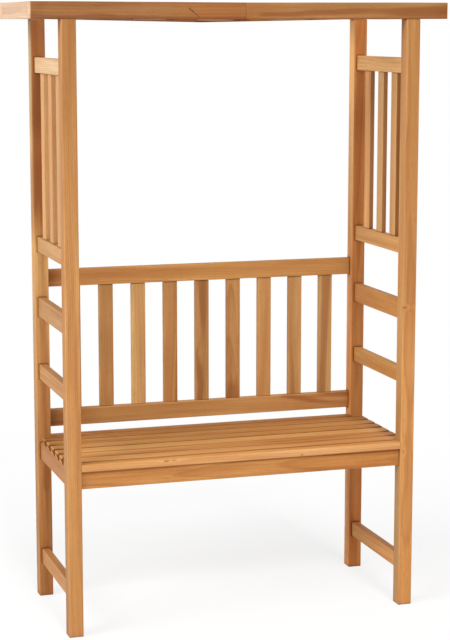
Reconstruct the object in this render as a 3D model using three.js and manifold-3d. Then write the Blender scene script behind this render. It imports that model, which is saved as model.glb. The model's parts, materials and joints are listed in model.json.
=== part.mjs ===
import * as THREE from 'three';
import { mergeVertices } from 'three/addons/utils/BufferGeometryUtils.js';
import Module from 'manifold-3d';

const wasm = await Module();
wasm.setup();

// Arbour seat in solid hardwood. X runs along the seat, Y from front to back, Z up.
// The origin is on the ground, in the middle of the frame. All sizes are in mm.

// Overall frame
const outerWidth = 1000;
const outerDepth = 430;
const postSection = 40;
const postHeight = 1654.5;

// Stock shared by the rails and slats
const railThickness = 22;
const sideRailHeight = 42.5;
const slatWidth = 41.5;
const slatThickness = 13.5;
const arris = 1.2;

// Seat, its back edge set in from the backs of the posts
const seatHeight = 477;
const seatBackInset = 21;
const seatSlatThickness = 20;
const seatRailHeight = 48.5;
const longSeatSlatCount = 6;
const edgeSeatSlatWidth = 32.7;
const seatSlatGap = 9;

// Undersides of the side rails: above the ground, above the seat, and below the post shoulders
const footRailLevel = 99;
const lowerArmRailRise = 164.5;
const upperArmRailRise = 345.5;
const panelBottomRailRise = 530.5;
const panelTopRailDrop = 147;
const upperArmRailHeight = 54;
const panelSlatCount = 3;

// Backrest between the back posts, its bottom rail above the seat
const backrestRise = 20;
const backrestSlatLength = 357;
const backrestRailHeight = 49;
const backSlatCount = 9;

// Roof of two halves that meet in the middle
const beamHeight = 44;
const roofOverhang = 79.5;
const frontBeamSag = 1.5;
const backBeamSag = 9;
const crossRailsPerHalf = 4;
const roofBoltSpacing = 180;
const boltDiameter = 8;
const boltHeadAcross = 13;
const boltHeadHeight = 5.5;
const nutHeight = 6.5;

// Joints
const clearance = 0.3;
const tenonShoulder = 6;
const wideTenonLength = 16;
const sideTenonLength = 12;
const stubTenonLength = 10;
const stubTenonShoulder = 2;
const postTenonSection = 20;
const postTenonLength = 20;

// Roundness of the bolts
const hexagonSides = 6;
const roundSides = 24;

// Places that follow from the sizes above
const halfWidth = outerWidth / 2;
const frontFace = -outerDepth / 2;
const backFace = outerDepth / 2;
const frontPostBack = frontFace + postSection;
const backPostFront = backFace - postSection;
const postInner = halfWidth - postSection;
const railInset = (postSection - railThickness) / 2;
const railOuter = halfWidth - railInset;
const seatRailTop = seatHeight - seatSlatThickness - clearance;
const seatRailLevel = seatRailTop - seatRailHeight;
const seatSlatsDepth = outerDepth - seatBackInset - (longSeatSlatCount + 1) * seatSlatGap;
const longSeatSlatWidth = (seatSlatsDepth - 2 * edgeSeatSlatWidth) / longSeatSlatCount;
const panelBottomRailLevel = seatHeight + panelBottomRailRise;
const panelTopRailLevel = postHeight - panelTopRailDrop;
const backrestBottomRailLevel = seatHeight + backrestRise;
const backrestTopRailLevel = backrestBottomRailLevel + backrestRailHeight + backrestSlatLength;
const beamLevel = postHeight + clearance;
const beamTop = beamLevel + beamHeight;
const roofEnd = halfWidth + roofOverhang;
const middleGap = clearance / 2;

const woodTones = {
  post: 0xc98a4e,
  sideFrame: 0xc48349,
  backrest: 0xb8743f,
  seat: 0xd9995a,
  roof: 0xb6733d,
};
const steelColor = 0x9a9b9d;

const unit = {
  x: new THREE.Vector3(1, 0, 0),
  y: new THREE.Vector3(0, 1, 0),
  z: new THREE.Vector3(0, 0, 1),
};

// The two axes across each length axis, in right-handed order
const across = { x: ['y', 'z'], y: ['z', 'x'], z: ['x', 'y'] };

function turnTo(geometry, along) {
  const [u, v] = across[along];
  return geometry.applyMatrix4(new THREE.Matrix4().makeBasis(unit[u], unit[v], unit[along]));
}

// A solid that fills a box, its long edges cut back by ease
function plank(box, along, ease) {
  const [u, v] = across[along];
  const [left, right] = box[u];
  const [low, high] = box[v];
  const outline = new THREE.Shape();
  outline.moveTo(left + ease, low);
  outline.lineTo(right - ease, low);
  outline.lineTo(right, low + ease);
  outline.lineTo(right, high - ease);
  outline.lineTo(right - ease, high);
  outline.lineTo(left + ease, high);
  outline.lineTo(left, high - ease);
  outline.lineTo(left, low + ease);
  outline.closePath();
  const [start, end] = box[along];
  const geometry = new THREE.ExtrudeGeometry(outline, { depth: end - start, bevelEnabled: false });
  return turnTo(geometry.translate(0, 0, start), along);
}

function block(box) {
  const size = ['x', 'y', 'z'].map((axis) => box[axis][1] - box[axis][0]);
  const middle = ['x', 'y', 'z'].map((axis) => (box[axis][0] + box[axis][1]) / 2);
  return new THREE.BoxGeometry(...size).translate(...middle);
}

function grow(box, by) {
  const wider = {};
  for (const axis of ['x', 'y', 'z']) {
    wider[axis] = [box[axis][0] - by, box[axis][1] + by];
  }
  return wider;
}

function toSolid(geometry) {
  const bare = geometry.clone();
  bare.deleteAttribute('normal');
  bare.deleteAttribute('uv');
  const merged = mergeVertices(bare);
  const vertProperties = new Float32Array(merged.attributes.position.array);
  const triVerts = new Uint32Array(merged.index.array);
  return new wasm.Manifold(new wasm.Mesh({ numProp: 3, vertProperties, triVerts }));
}

function toGeometry(solid) {
  const mesh = solid.getMesh();
  const geometry = new THREE.BufferGeometry();
  geometry.setAttribute('position', new THREE.BufferAttribute(mesh.vertProperties, 3));
  geometry.setIndex(new THREE.BufferAttribute(mesh.triVerts, 1));
  geometry.computeVertexNormals();
  return geometry;
}

// Every piece is listed first, so that each tenon can cut its mortise in the piece it enters
const pieces = [];

function addPiece(group, name, tone, geometry, tenons = [], bores = []) {
  pieces.push({ group, name, tone, geometry, tenons, bores });
}

// A tenon past one end of a rail, thinner than the rail by the shoulders given for each axis
function tenonBox(box, along, end, length, shoulders) {
  const tenon = {};
  for (const axis of across[along]) {
    tenon[axis] = [box[axis][0] + shoulders[axis], box[axis][1] - shoulders[axis]];
  }
  const [start, finish] = box[along];
  tenon[along] = end < 0 ? [start - length, start] : [finish, finish + length];
  return tenon;
}

// A rail or slat between two faces, with a tenon at each end
function addTenoned(group, name, tone, box, along, length, shoulder) {
  const shoulders = {};
  for (const axis of across[along]) {
    shoulders[axis] = shoulder;
  }
  const tenons = [-1, 1].map((end) => tenonBox(box, along, end, length + clearance, shoulders));
  addPiece(group, name, tone, plank(box, along, arris), tenons);
}

function levels(low, height) {
  return [low, low + height];
}

// Evenly spaced widths with equal gaps between two faces
function shareEvenly(low, high, count, width) {
  const gap = (high - low - count * width) / (count + 1);
  return Array.from({ length: count }, (_, i) => {
    const start = low + gap + i * (width + gap);
    return [start, start + width];
  });
}

function addPosts(group) {
  for (const [side, x] of [['left', -halfWidth], ['right', postInner]]) {
    for (const [row, y] of [['front', frontFace], ['back', backPostFront]]) {
      const box = { x: [x, x + postSection], y: [y, y + postSection], z: [0, postHeight] };
      const shoulder = (postSection - postTenonSection) / 2;
      const tenon = tenonBox(box, 'z', 1, postTenonLength + clearance, { x: shoulder, y: shoulder });
      addPiece(group, `post_${row}_${side}`, woodTones.post, plank(box, 'z', arris), [tenon]);
    }
  }
}

function addSideFrame(group, side, outerX) {
  const x = side === 'left' ? [outerX, outerX + railThickness] : [outerX - railThickness, outerX];
  const y = [frontPostBack + clearance, backPostFront - clearance];
  const rails = [
    ['foot_rail', levels(footRailLevel, sideRailHeight)],
    ['seat_rail', levels(seatRailLevel, seatRailHeight)],
    ['lower_arm_rail', levels(seatHeight + lowerArmRailRise, sideRailHeight)],
    ['upper_arm_rail', levels(seatHeight + upperArmRailRise, upperArmRailHeight)],
    ['panel_bottom_rail', levels(panelBottomRailLevel, sideRailHeight)],
    ['panel_top_rail', levels(panelTopRailLevel, sideRailHeight)],
  ];
  for (const [name, z] of rails) {
    const tone = woodTones.sideFrame;
    addTenoned(group, `${side}_${name}`, tone, { x, y, z }, 'y', sideTenonLength, tenonShoulder);
  }
  const middle = (x[0] + x[1]) / 2;
  const slatX = [middle - slatThickness / 2, middle + slatThickness / 2];
  const slatZ = [panelBottomRailLevel + sideRailHeight + clearance, panelTopRailLevel - clearance];
  shareEvenly(frontPostBack, backPostFront, panelSlatCount, slatWidth).forEach((slatY, i) => {
    const box = { x: slatX, y: slatY, z: slatZ };
    const name = `${side}_panel_slat_${i + 1}`;
    addTenoned(group, name, woodTones.sideFrame, box, 'z', stubTenonLength, stubTenonShoulder);
  });
}

function addBackrest(group) {
  const x = [-postInner + clearance, postInner - clearance];
  const y = [backFace - railThickness, backFace];
  const bottom = levels(backrestBottomRailLevel, backrestRailHeight);
  const top = levels(backrestTopRailLevel, backrestRailHeight);
  for (const [name, z] of [['backrest_bottom_rail', bottom], ['backrest_top_rail', top]]) {
    addTenoned(group, name, woodTones.backrest, { x, y, z }, 'x', wideTenonLength, tenonShoulder);
  }
  const middle = (y[0] + y[1]) / 2;
  const slatY = [middle - slatThickness / 2, middle + slatThickness / 2];
  const slatZ = [bottom[1] + clearance, top[0] - clearance];
  shareEvenly(-postInner, postInner, backSlatCount, slatWidth).forEach((slatX, i) => {
    const box = { x: slatX, y: slatY, z: slatZ };
    const name = `back_slat_${i + 1}`;
    addTenoned(group, name, woodTones.backrest, box, 'z', stubTenonLength, stubTenonShoulder);
  });
}

function addSeat(group) {
  const tone = woodTones.seat;
  const railX = [-postInner + clearance, postInner - clearance];
  const railZ = [seatRailLevel, seatRailTop];
  const apronY = [frontFace + railInset, frontFace + railInset + railThickness];
  const rearY = [backPostFront + railInset, backPostFront + railInset + railThickness];
  for (const [name, y] of [['front_apron', apronY], ['rear_seat_rail', rearY]]) {
    addTenoned(group, name, tone, { x: railX, y, z: railZ }, 'x', wideTenonLength, tenonShoulder);
  }
  const bearer = {
    x: [-railThickness / 2, railThickness / 2],
    y: [apronY[1] + clearance, rearY[0] - clearance],
    z: railZ,
  };
  addTenoned(group, 'seat_bearer', tone, bearer, 'y', stubTenonLength, tenonShoulder);

  // The first and last slats fit between the posts, and the others run out over the side rails
  const slatCount = longSeatSlatCount + 2;
  const z = [seatRailTop + clearance, seatHeight];
  let front = frontFace;
  for (let i = 0; i < slatCount; i += 1) {
    const betweenPosts = i === 0 || i === slatCount - 1;
    const reach = betweenPosts ? postInner - clearance : railOuter;
    const width = betweenPosts ? edgeSeatSlatWidth : longSeatSlatWidth;
    const box = { x: [-reach, reach], y: [front, front + width], z };
    addPiece(group, `seat_slat_${i + 1}`, tone, plank(box, 'x', arris));
    front += width + seatSlatGap;
  }
}

// How far the middle of a beam hangs below its ends, at a distance from the middle
function sagAt(distance, sag) {
  return sag * Math.max(0, 1 - distance / postInner);
}

// Half a roof beam, level out to the post and hanging a little towards the middle
function halfBeam(side, y, sag) {
  const outline = new THREE.Shape();
  outline.moveTo(side * roofEnd, beamLevel);
  outline.lineTo(side * roofEnd, beamTop);
  outline.lineTo(side * postInner, beamTop);
  outline.lineTo(side * middleGap, beamTop - sag);
  outline.lineTo(side * middleGap, beamLevel - sag);
  outline.lineTo(side * postInner, beamLevel);
  outline.closePath();
  const settings = {
    depth: postSection - 2 * arris,
    bevelEnabled: true,
    bevelSegments: 1,
    bevelSize: arris,
    bevelThickness: arris,
    bevelOffset: -arris,
  };
  const geometry = new THREE.ExtrudeGeometry(outline, settings);
  geometry.rotateX(Math.PI / 2);
  return geometry.translate(0, y + postSection - arris, 0);
}

function hexPrism(x, y, z, height, holeDiameter) {
  const radius = boltHeadAcross / Math.sqrt(3);
  const outline = new THREE.Shape();
  for (let i = 0; i < hexagonSides; i += 1) {
    const angle = (i * 2 * Math.PI) / hexagonSides;
    const corner = [radius * Math.cos(angle), radius * Math.sin(angle)];
    outline[i === 0 ? 'moveTo' : 'lineTo'](...corner);
  }
  outline.closePath();
  if (holeDiameter > 0) {
    const hole = new THREE.Path();
    hole.absarc(0, 0, holeDiameter / 2, 0, 2 * Math.PI, true);
    outline.holes.push(hole);
  }
  const settings = { depth: height, bevelEnabled: false, curveSegments: roundSides };
  return turnTo(new THREE.ExtrudeGeometry(outline, settings), 'x').translate(x, y, z);
}

function rod(start, end, y, z, diameter) {
  const geometry = new THREE.CylinderGeometry(diameter / 2, diameter / 2, end - start, roundSides);
  geometry.rotateZ(Math.PI / 2);
  return geometry.translate((start + end) / 2, y, z);
}

function addRoof(group) {
  const tone = woodTones.roof;
  for (const [half, side] of [['left', -1], ['right', 1]]) {
    const frontBeam = halfBeam(side, frontFace, frontBeamSag);
    addPiece(group, `roof_front_beam_${half}`, tone, frontBeam);
    const backBeam = halfBeam(side, backPostFront, backBeamSag);
    addPiece(group, `roof_back_beam_${half}`, tone, backBeam);
  }

  // The outer cross rails close the ends, and the two innermost ones lie back to back
  const meanSag = (frontBeamSag + backBeamSag) / 2;
  const y = [frontPostBack + clearance, backPostFront - clearance];
  const innermost = middleGap + railThickness / 2;
  const step = (roofEnd - railThickness / 2 - innermost) / (crossRailsPerHalf - 1);
  const boltX = middleGap + railThickness + clearance;
  const boltZ = (beamLevel + beamTop) / 2 - sagAt(innermost, meanSag);
  const boltYs = [-roofBoltSpacing / 2, roofBoltSpacing / 2];
  const holes = boltYs.map((boltY) => rod(-boltX, boltX, boltY, boltZ, boltDiameter + 2 * clearance));
  for (const side of [-1, 1]) {
    for (let i = 0; i < crossRailsPerHalf; i += 1) {
      const distance = innermost + i * step;
      const middle = side * distance;
      const drop = sagAt(distance, meanSag);
      const box = {
        x: [middle - railThickness / 2, middle + railThickness / 2],
        y,
        z: [beamLevel - drop, beamTop - drop],
      };
      const shoulders = { x: tenonShoulder, z: tenonShoulder };
      const length = sideTenonLength + clearance;
      const tenons = [-1, 1].map((end) => tenonBox(box, 'y', end, length, shoulders));
      const number = side < 0 ? crossRailsPerHalf - i : crossRailsPerHalf + 1 + i;
      const bores = i === 0 ? holes : [];
      addPiece(group, `roof_cross_rail_${number}`, tone, plank(box, 'y', arris), tenons, bores);
    }
  }
  boltYs.forEach((boltY, i) => {
    const shankEnd = boltX + nutHeight + clearance;
    const shank = toSolid(rod(-boltX, shankEnd, boltY, boltZ, boltDiameter));
    const head = toSolid(hexPrism(-boltX - boltHeadHeight, boltY, boltZ, boltHeadHeight, 0));
    addPiece(group, `roof_bolt_${i + 1}`, steelColor, toGeometry(shank.add(head)));
    const nut = hexPrism(boltX, boltY, boltZ, nutHeight, boltDiameter + 2 * clearance);
    addPiece(group, `roof_nut_${i + 1}`, steelColor, nut);
  });
}

function overlaps(a, b) {
  return ['x', 'y', 'z'].every((axis) => a[axis][0] < b[axis][1] && b[axis][0] < a[axis][1]);
}

function boundsOf(geometry) {
  geometry.computeBoundingBox();
  const { min, max } = geometry.boundingBox;
  return { x: [min.x, max.x], y: [min.y, max.y], z: [min.z, max.z] };
}

// Adds a piece's own tenons, then cuts the mortises that its neighbours' tenons need
function finish(piece) {
  const body = boundsOf(piece.geometry);
  let solid = toSolid(piece.geometry);
  for (const tenon of piece.tenons) {
    solid = solid.add(toSolid(block(tenon)));
  }
  for (const neighbour of pieces) {
    if (neighbour === piece) continue;
    for (const tenon of neighbour.tenons) {
      const mortise = grow(tenon, clearance);
      if (overlaps(mortise, body)) {
        solid = solid.subtract(toSolid(block(mortise)));
      }
    }
  }
  for (const bore of piece.bores) {
    solid = solid.subtract(toSolid(bore));
  }
  return toGeometry(solid);
}

// Each mesh stands at the middle of its piece, with its geometry around its own origin
function meshOf(piece) {
  const geometry = finish(piece);
  geometry.computeBoundingBox();
  const middle = geometry.boundingBox.getCenter(new THREE.Vector3());
  geometry.translate(-middle.x, -middle.y, -middle.z);
  const isSteel = piece.tone === steelColor;
  const material = new THREE.MeshStandardMaterial({
    color: piece.tone,
    roughness: isSteel ? 0.35 : 0.62,
    metalness: isSteel ? 1 : 0,
  });
  const mesh = new THREE.Mesh(geometry, material);
  mesh.name = piece.name;
  mesh.position.copy(middle);
  return mesh;
}

const arbour = new THREE.Group();
const framing = new THREE.Group();
const leftSide = new THREE.Group();
const rightSide = new THREE.Group();
const backrest = new THREE.Group();
const seat = new THREE.Group();
const roof = new THREE.Group();

addPosts(framing);
addSideFrame(leftSide, 'left', -railOuter);
addSideFrame(rightSide, 'right', railOuter);
addBackrest(backrest);
addSeat(seat);
addRoof(roof);

for (const piece of pieces) {
  piece.group.add(meshOf(piece));
}
arbour.add(framing, leftSide, rightSide, backrest, seat, roof);

export default arbour;
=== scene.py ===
import bpy
import json
import math
import numpy as np
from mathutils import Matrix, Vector

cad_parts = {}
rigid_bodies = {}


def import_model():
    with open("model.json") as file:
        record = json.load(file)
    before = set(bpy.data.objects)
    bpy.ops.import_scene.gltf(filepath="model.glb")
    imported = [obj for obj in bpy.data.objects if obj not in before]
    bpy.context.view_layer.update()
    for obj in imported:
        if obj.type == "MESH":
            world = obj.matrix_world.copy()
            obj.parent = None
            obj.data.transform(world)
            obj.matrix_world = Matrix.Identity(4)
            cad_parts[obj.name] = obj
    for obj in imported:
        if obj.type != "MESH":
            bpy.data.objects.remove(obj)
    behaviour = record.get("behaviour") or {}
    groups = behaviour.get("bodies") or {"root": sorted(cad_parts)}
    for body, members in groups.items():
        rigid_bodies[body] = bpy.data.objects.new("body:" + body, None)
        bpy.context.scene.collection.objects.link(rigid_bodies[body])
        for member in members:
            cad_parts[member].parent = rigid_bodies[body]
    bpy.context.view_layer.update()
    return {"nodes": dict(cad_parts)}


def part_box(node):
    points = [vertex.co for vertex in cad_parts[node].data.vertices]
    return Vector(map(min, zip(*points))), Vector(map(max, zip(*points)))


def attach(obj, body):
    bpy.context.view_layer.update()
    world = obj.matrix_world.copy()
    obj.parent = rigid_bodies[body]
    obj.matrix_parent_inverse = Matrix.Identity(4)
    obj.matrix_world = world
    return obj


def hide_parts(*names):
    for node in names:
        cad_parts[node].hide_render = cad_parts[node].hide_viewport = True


for leftover in list(bpy.data.objects):
    bpy.data.objects.remove(leftover)
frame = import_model()
print("frame loaded with", len(frame["nodes"]), "nodes")

# shared helpers


def fromScreen(red, green, blue):
    # a colour as a screen shows it, turned into the light values that nodes use
    shown = np.array([red, green, blue]) / 255
    light = np.where(shown > 0.04045, ((shown + 0.055) / 1.055) ** 2.4, shown / 12.92)
    return tuple(float(v) for v in light)


def smoothStep(low, high, value):
    # 0 below low, 1 above high and an s-curve between
    t = np.clip((value - low) / (high - low), 0, 1)
    return t * t * (3 - 2 * t)


def placeObject(name, data):
    made = bpy.data.objects.new(name, data)
    bpy.context.scene.collection.objects.link(made)
    return made


def meshFrom(name, corners, faces):
    # a smooth mesh object at the origin with its place in its corners
    mesh = bpy.data.meshes.new(name)
    mesh.from_pydata(corners.tolist(), [], faces)
    mesh.polygons.foreach_set("use_smooth", np.ones(len(mesh.polygons), bool))
    mesh.update()
    return placeObject(name, mesh)


def giveAttribute(made, name, kind, values):
    channel = "vector" if kind == "FLOAT_VECTOR" else "color" if kind == "FLOAT_COLOR" else "value"
    layer = made.data.attributes.new(name, kind, "POINT")
    layer.data.foreach_set(channel, np.ascontiguousarray(values, np.float32).ravel())


def ringFaces(rings, around, closed=False):
    # quads between one ring of points and the next, facing outwards
    rows = np.arange(rings if closed else rings - 1)[:, None] * around
    above = (rows + around) % (rings * around)
    cols = np.arange(around)[None, :]
    beside = (cols + 1) % around
    return np.stack([rows + cols, rows + beside, above + beside, above + cols], -1).reshape(-1, 4).tolist()


# materials

woodLook = {
    "pale": (210, 155, 94), "honey": (192, 130, 68), "deep": (148, 88, 41),
    # the joint colour also paints shade, in gaps and round the ends of boards that meet
    "red": (154, 86, 44), "pore": (92, 52, 24), "jointAndShade": (94, 50, 21), "knot": (84, 44, 21),
    "ringSpacing": 0.0052, "grainHeight": 0.00022, "roughness": 0.52, "sheen": 0.2,
    # how strongly each mark shows
    "ringDepth": 0.36, "fibreDepth": 0.22, "patchDepth": 0.66, "wideDepth": 0.35, "poreDepth": 0.4,
    "streakDepth": 0.75, "knotDepth": 0.85, "jointAndShadeDepth": 0.8, "wearLow": 0.04, "wearHigh": 0.22,
    # rings at their least, pores left in late wood, raggedness of streaks and depth of their colour
    "ringLeast": 0.25, "poresLate": 0.35, "raggedness": 1.1, "streakDeep": 0.55,
    # what pores and joints add to roughness, and the parts of the relief
    "poreDull": 0.4, "jointDull": 0.45, "relief": 0.7, "fibreRelief": 0.5, "ringRelief": 0.5,
    # the log's bends: how close they come across and along it, and how far they reach
    "sways": [(7, 1.3, 0.028), (55, 2.6, 0.0016)],
    # how dark a ring is from spring to autumn
    "lateWood": [(0.45, 0.16), (0.74, 0.5), (0.9, 1.0), (0.96, 0.7)],
    # each layer of noise: how fine across and along the grain, where it starts, detail and roughness
    "layers": {
        "ringFade": (16, 2.2, (3, 1, 7), 1.0, 0.5), "fibre": (620, 11, (0, 0, 0), 3.0, 0.62),
        "coarse": (150, 3.2, (1, 4, 2), 3.0, 0.6), "patch": (34, 1.5, (5, 2, 9), 2.0, 0.55),
        "wide": (11, 2.4, (2, 8, 3), 1.0, 0.5), "pores": (1500, 60, (7, 7, 7), 1.0, 0.5),
    },
    # the values between which each layer takes hold
    "holds": {
        "ringFade": (0.34, 0.66), "fibre": (0.35, 0.7), "coarse": (0.22, 0.78), "patch": (0.4, 0.74),
        "wide": (0.4, 0.7), "pores": (0.6, 0.7), "stain": (0.25, 0.7), "wear": (0.35, 0.65),
        "gloss": (0.2, 0.8),
    },
}
ringUnit = 0.314  # a wave texture of scale 1 has its rings this far apart

# what a tone's warmth takes from green and from blue, and what gold gives to green and takes from blue
toneCraft = {"greenWarmth": 0.45, "blueWarmth": 0.9, "goldShift": 0.065}


def toneShares(tone):
    # red, green and blue shares of a board's tone, each exp(-darkening): depth darkens all three
    depth, warmth, gold = np.moveaxis(np.asarray(tone, float), -1, 0)
    green = depth + toneCraft["greenWarmth"] * warmth - toneCraft["goldShift"] * gold
    blue = depth + toneCraft["blueWarmth"] * warmth + toneCraft["goldShift"] * gold
    return np.exp(-np.stack([depth, green, blue], -1))


def toneAlong(share, bands):
    # depth, warmth and gold at each place along a board, in straight lines between its bands of
    # (place, depth, warmth, gold), where gold may be left out
    bands = np.array(bands, float)
    parts = [np.interp(share, bands[:, 0], bands[:, k]) for k in range(1, bands.shape[1])]
    return np.stack(parts + [np.zeros(len(share))] * (3 - len(parts)), -1)


class NodeDesk:
    # lays nodes for a material or a world

    def __init__(self, owner):
        owner.use_nodes = True
        self.tree = owner.node_tree
        self.tree.nodes.clear()
        self.column = 0

    def node(self, kind, inputs=None, **fields):
        made = self.tree.nodes.new("ShaderNode" + kind)
        self.column += 1
        made.location = (self.column % 14 * 190, -(self.column // 14) * 260)
        for field, value in fields.items():
            setattr(made, field, value)
        for socket, value in (inputs or {}).items():
            self.feed(made.inputs[socket], value)
        return made

    def feed(self, socket, value):
        if isinstance(value, bpy.types.NodeSocket):
            self.tree.links.new(value, socket)
        elif isinstance(value, tuple) and len(value) == 3 and socket.type == "RGBA":
            socket.default_value = (*value, 1)
        else:
            socket.default_value = value

    def maths(self, operation, first, second, clamp=False):
        return self.node("Math", {0: first, 1: second}, operation=operation, use_clamp=clamp).outputs[0]

    def times(self, first, second):
        return self.maths("MULTIPLY", first, second)

    def vectors(self, operation, first, second):
        made = self.node("VectorMath", {0: first, 1: second}, operation=operation)
        return made.outputs["Value" if operation == "DOT_PRODUCT" else "Vector"]

    def length(self, vector):
        return self.node("VectorMath", {0: vector}, operation="LENGTH").outputs["Value"]

    def ramp(self, value, low, high, outLow=0.0, outHigh=1.0):
        return self.node("MapRange", {0: value, 1: low, 2: high, 3: outLow, 4: outHigh}).outputs[0]

    def mix(self, share, first, second, kind="MIX"):
        # a colour mix has its share, first and second colour on sockets 0, 6 and 7
        made = self.node("Mix", data_type="RGBA", blend_type=kind)
        for socket, value in ((0, share), (6, first), (7, second)):
            self.feed(made.inputs[socket], value)
        return made.outputs[2]

    def noise(self, vector, scale, offset=(0, 0, 0), detail=2.0, roughness=0.5, output=0):
        vector = self.node("Mapping", {"Vector": vector, "Scale": scale, "Location": offset}).outputs[0]
        return self.node("TexNoise", {"Vector": vector, "Scale": 1.0, "Detail": detail,
                                      "Roughness": roughness}).outputs[output]

    def distanceToLine(self, place, start, end):
        # from each point to the nearest place between start and end
        run = Vector(end) - Vector(start)
        fromStart = self.vectors("SUBTRACT", place, start)
        share = self.vectors("DOT_PRODUCT", fromStart, tuple(run / run.length_squared))
        share = self.maths("ADD", share, 0.0, clamp=True)
        nearest = self.node("VectorMath", {0: tuple(run), "Scale": share}, operation="SCALE").outputs[0]
        return self.length(self.vectors("SUBTRACT", fromStart, nearest))


def makeTimber(name, look, knots=(), cracks=()):
    # rings round the pith, fibres, pores and patches, all read from where each point lies in the log
    material = bpy.data.materials.new(name)
    desk = NodeDesk(material)
    inLog = desk.node("Attribute", attribute_name="inLog").outputs["Vector"]
    tone = desk.node("Attribute", attribute_name="boardTone").outputs["Color"]
    wear, jointAndShade, stain = [desk.node("Attribute", attribute_name=mark).outputs["Fac"]
                          for mark in ("edgeWearAndHighlight", "jointAndShadeLine", "stain")]

    def layer(kind, vector):
        across, along, start, detail, roughness = look["layers"][kind]
        return desk.noise(vector, (across, across, along), start, detail, roughness)

    def hold(value, kind, high=1.0, low=0.0):
        return desk.ramp(value, *look["holds"][kind], low, high)

    # the log is never quite round or straight
    grain = inLog
    for across, along, reach in look["sways"]:
        sway = desk.noise(inLog, (across, across, along), output="Color")
        sway = desk.vectors("SUBTRACT", sway, (0.5, 0.5, 0.5))
        grain = desk.vectors("ADD", grain, desk.vectors("MULTIPLY", sway, (reach, reach, 0.0)))

    # the grain bends round each knot, and a crack is as dark as a knot's core
    place = desk.node("TexCoord").outputs["Object"]
    knotCore = 0.0
    for *middle, radius, stretch, strength in knots:
        away = desk.vectors("SUBTRACT", place, tuple(middle))
        away = desk.length(desk.vectors("DIVIDE", away, stretch))
        bend = desk.ramp(away, radius * 0.5, radius * 5, radius * 0.4, 0.0)
        push = desk.node("CombineXYZ", {0: bend, 1: bend}).outputs[0]
        grain = desk.vectors("ADD", grain, push)
        knotCore = desk.maths("MAXIMUM", desk.ramp(away, radius * 0.3, radius * 1.3, strength, 0.0), knotCore)
    for start, end, width, strength in cracks:
        away = desk.distanceToLine(place, start, end)
        knotCore = desk.maths("MAXIMUM", desk.ramp(away, width * 0.3, width, strength, 0.0), knotCore)

    # growth rings, pale in spring and darker towards autumn
    rings = desk.node("TexWave", {0: grain, "Scale": ringUnit / look["ringSpacing"], "Distortion": 0.0},
                      wave_type="RINGS", rings_direction="Z", wave_profile="SAW").outputs["Fac"]
    lateWood = desk.node("ValToRGB", {0: rings})
    stops = lateWood.color_ramp.elements
    stops[0].color = (0, 0, 0, 1)
    stops[1].color = (0.06, 0.06, 0.06, 1)
    for at, grey in look["lateWood"]:
        stops.new(at).color = (grey, grey, grey, 1)
    ringFade = hold(layer("ringFade", inLog), "ringFade", look["ringDepth"] * 1.6, look["ringLeast"])
    ringShare = desk.times(lateWood.outputs[0], ringFade)

    # fibres along the board, patches of colour, and open pores that thin out in the late wood
    fibre, coarse, patch = [layer(kind, grain) for kind in ("fibre", "coarse", "patch")]
    wide = layer("wide", inLog)
    poreShare = hold(layer("pores", grain), "pores", look["poreDepth"])
    poreShare = desk.times(poreShare, desk.ramp(rings, 0.0, 0.8, 1.0, look["poresLate"]))

    colour = desk.mix(hold(coarse, "coarse"), look["honey"], look["pale"])
    colour = desk.mix(hold(patch, "patch", look["patchDepth"]), colour, look["red"])
    colour = desk.mix(hold(wide, "wide", look["wideDepth"]), colour, look["honey"])
    colour = desk.mix(ringShare, colour, look["deep"])
    colour = desk.mix(hold(fibre, "fibre", look["fibreDepth"]), colour, look["deep"])
    colour = desk.mix(poreShare, colour, look["pore"])

    # streaks with ragged sides, of stain and some painted shade, then the board's own tone, knots, edges
    # paler from wear and painted highlight, and joint lines with painted shade
    ragged = desk.times(desk.maths("SUBTRACT", patch, 0.5), look["raggedness"])
    streakShare = hold(desk.maths("ADD", stain, ragged), "stain", look["streakDepth"])
    streakShare = desk.times(streakShare, desk.ramp(stain, 0.0, 0.12))
    colour = desk.mix(streakShare, colour, desk.mix(look["streakDeep"], look["red"], look["deep"]))
    colour = desk.mix(1.0, colour, tone, "MULTIPLY")
    if knots or cracks:
        colour = desk.mix(desk.times(knotCore, look["knotDepth"]), colour, look["knot"])
    # edges paler from wear and from a painted highlight
    rubbed = hold(coarse, "wear", look["wearHigh"], look["wearLow"])
    colour = desk.mix(desk.times(wear, rubbed), colour, look["pale"])
    # dark joint lines, and painted shade in gaps and round the ends of boards that meet
    colour = desk.mix(desk.times(jointAndShade, look["jointAndShadeDepth"]), colour, look["jointAndShade"])

    # pores and joints are duller, and pores and late wood stand a little lower
    rough = hold(fibre, "gloss", look["roughness"] + 0.1, look["roughness"] - 0.06)
    rough = desk.maths("ADD", rough, desk.times(poreShare, look["poreDull"]))
    rough = desk.maths("ADD", rough, desk.times(jointAndShade, look["jointDull"]), clamp=True)
    relief = desk.maths("SUBTRACT", desk.times(fibre, look["fibreRelief"]), poreShare)
    relief = desk.maths("SUBTRACT", relief, desk.times(ringShare, look["ringRelief"]))
    bump = desk.node("Bump", {"Height": relief, "Strength": look["relief"], "Distance": look["grainHeight"]})
    surface = desk.node("BsdfPrincipled", {"Base Color": colour, "Roughness": rough,
                                           "Normal": bump.outputs[0], "Specular IOR Level": look["sheen"]})
    desk.node("OutputMaterial", {0: surface.outputs[0]})
    return material


def timberColours(**changes):
    # the shared wood look with this group's own changes, its colours made ready for nodes
    merged = {**woodLook, **changes}
    return {key: fromScreen(*value) if isinstance(value, tuple) else value for key, value in merged.items()}


# boards

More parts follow.
